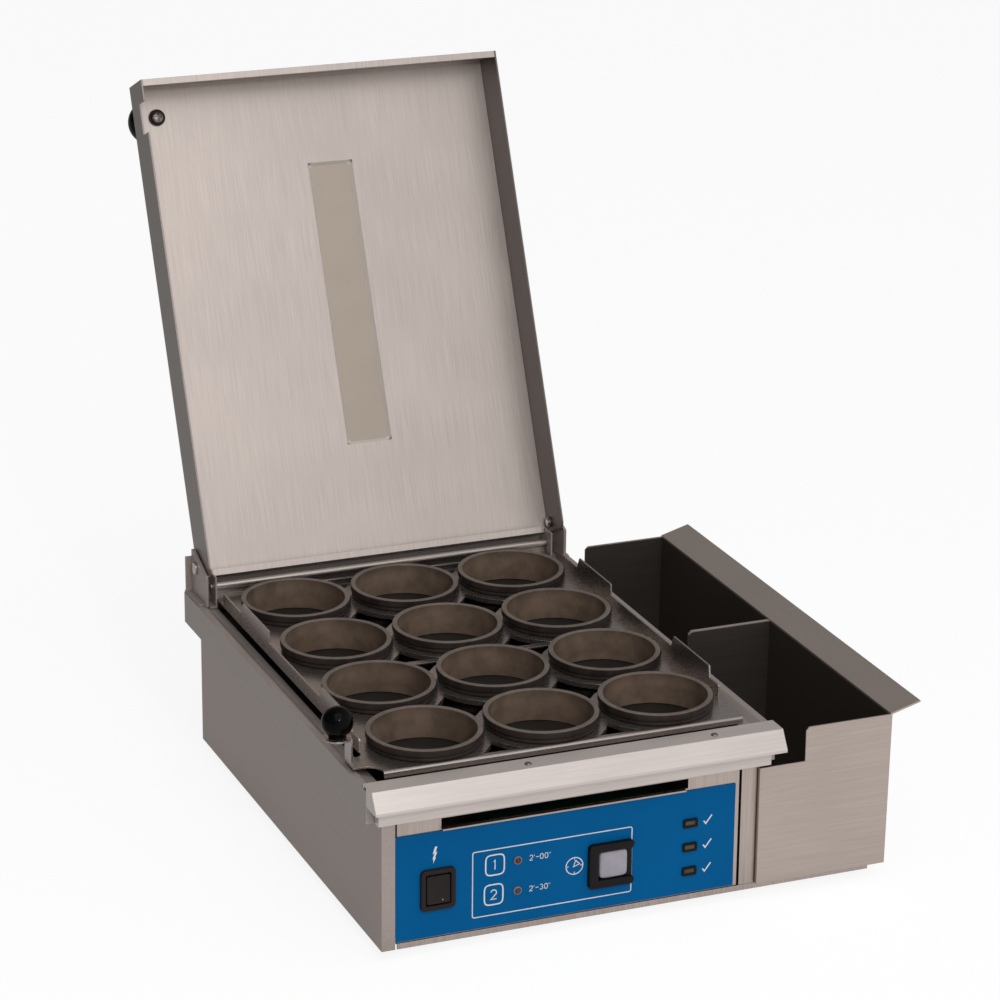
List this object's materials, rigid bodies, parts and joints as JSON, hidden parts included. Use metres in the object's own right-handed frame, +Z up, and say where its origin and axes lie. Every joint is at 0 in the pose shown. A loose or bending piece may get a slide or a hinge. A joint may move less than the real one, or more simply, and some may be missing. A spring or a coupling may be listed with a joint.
{
  "type": "commercial egg ring cooker",
  "caption": "Countertop egg cooker: ring rack over a heated plate in a sheet-metal cabinet, hinged lid, front rail, control panel and side bins.",
  "frame": {"origin": "middle of the whole object in X and Y, at the underside of the feet in Z, with the lid open as in the picture", "axes": "+X to the bins' side, +Y to the back where the lid is hinged, +Z up"},
  "size_m": [0.522, 0.7002, 0.6071],
  "materials": {
    "brushedSteel": "brushed stainless sheet",
    "rubber": "black rubber",
    "shadedSteel": "brushed stainless sheet, duller",
    "darkPlastic": "dark moulding",
    "blueFilm": "blue printed film, satin",
    "blackPlastic": "glossy black moulding",
    "greyPlastic": "grey moulding",
    "lampLens": "dark red lens, unlit",
    "ledLens": "amber lens, unlit",
    "circuitBoard": "green laminate",
    "polishedSteel": "bright stainless, finely brushed",
    "castAluminium": "dark non-stick coating on cast plate",
    "heaterTube": "heat-tinted stainless tube",
    "lidSteel": "satin stainless sheet",
    "nonStick": "dark non-stick coating, worn at the rim"
  },
  "bodies": {
    "cabinet": {"base_pan": "brushedSteel", "foot_front_left": "rubber", "foot_front_right": "rubber", "foot_rear_left": "rubber", "foot_rear_right": "rubber", "left_side_panel": "shadedSteel", "right_side_panel": "brushedSteel", "rear_panel": "brushedSteel", "cord_gland": "darkPlastic", "front_panel": "brushedSteel", "control_overlay": "blueFilm", "switch_bezel": "darkPlastic", "timer_key_guard": "blackPlastic", "lamp_upper": "lampLens", "lamp_middle": "lampLens", "lamp_lower": "lampLens", "led_upper": "ledLens", "led_lower": "ledLens", "control_board": "circuitBoard", "relay_left": "darkPlastic", "relay_right": "darkPlastic", "terminal_block": "greyPlastic", "top_frame": "shadedSteel", "front_rail": "polishedSteel", "griddle_plate": "castAluminium", "heating_element": "heaterTube", "heat_shield": "brushedSteel", "thermostat": "greyPlastic", "hinge_bracket_left": "shadedSteel", "hinge_bracket_right": "shadedSteel", "hinge_pin_left": "polishedSteel", "hinge_pin_right": "polishedSteel", "hinge_clip_left": "shadedSteel", "hinge_clip_right": "shadedSteel", "lid_stop_plate": "shadedSteel", "rack_rod": "polishedSteel", "rack_lug_left": "shadedSteel", "rack_lug_right": "shadedSteel"},
    "lid": {"lid_shell": "lidSteel", "lid_knob": "blackPlastic", "lid_knob_washer": "darkPlastic", "lid_knob_screw": "polishedSteel"},
    "rack": {"ring_rack": "shadedSteel", "rack_knob": "blackPlastic", "egg_ring_11": "nonStick", "egg_ring_12": "nonStick", "egg_ring_13": "nonStick", "egg_ring_21": "nonStick", "egg_ring_22": "nonStick", "egg_ring_23": "nonStick", "egg_ring_31": "nonStick", "egg_ring_32": "nonStick", "egg_ring_33": "nonStick", "egg_ring_41": "nonStick", "egg_ring_42": "nonStick", "egg_ring_43": "nonStick"},
    "rocker": {"switch_rocker": "blackPlastic"},
    "key": {"timer_key": "greyPlastic"},
    "front_bin": {"bin_front": "brushedSteel"},
    "rear_bin": {"bin_rear": "brushedSteel"}
  },
  "joints": [
    {"name": "lid_hinge", "type": "hinge", "parent": "cabinet", "child": "lid", "pos_m": [-0.0594, 0.13538, 0.186], "axis": [-1, 0, 0], "range_deg": [-113.5, 0]},
    {"name": "rack_hinge", "type": "hinge", "parent": "cabinet", "child": "rack", "pos_m": [-0.0594, 0.12448, 0.1705], "axis": [-1, 0, 0], "range_deg": [0, 105]},
    {"name": "switch_rock", "type": "hinge", "parent": "cabinet", "child": "rocker", "pos_m": [-0.1793, -0.32202, 0.0592], "axis": [-1, 0, 0], "range_deg": [0, 18]},
    {"name": "timer_key_press", "type": "slide", "parent": "cabinet", "child": "key", "axis": [0, 1, 0], "range_m": [0, 0.003], "stiffness_N_per_m": 800, "springref_m": -0.002},
    {"name": "front_bin_slide", "type": "slide", "parent": "cabinet", "child": "front_bin", "axis": [1, 0, 0], "range_m": [0, 0.16]},
    {"name": "rear_bin_slide", "type": "slide", "parent": "cabinet", "child": "rear_bin", "axis": [1, 0, 0], "range_m": [0, 0.16]}
  ]
}
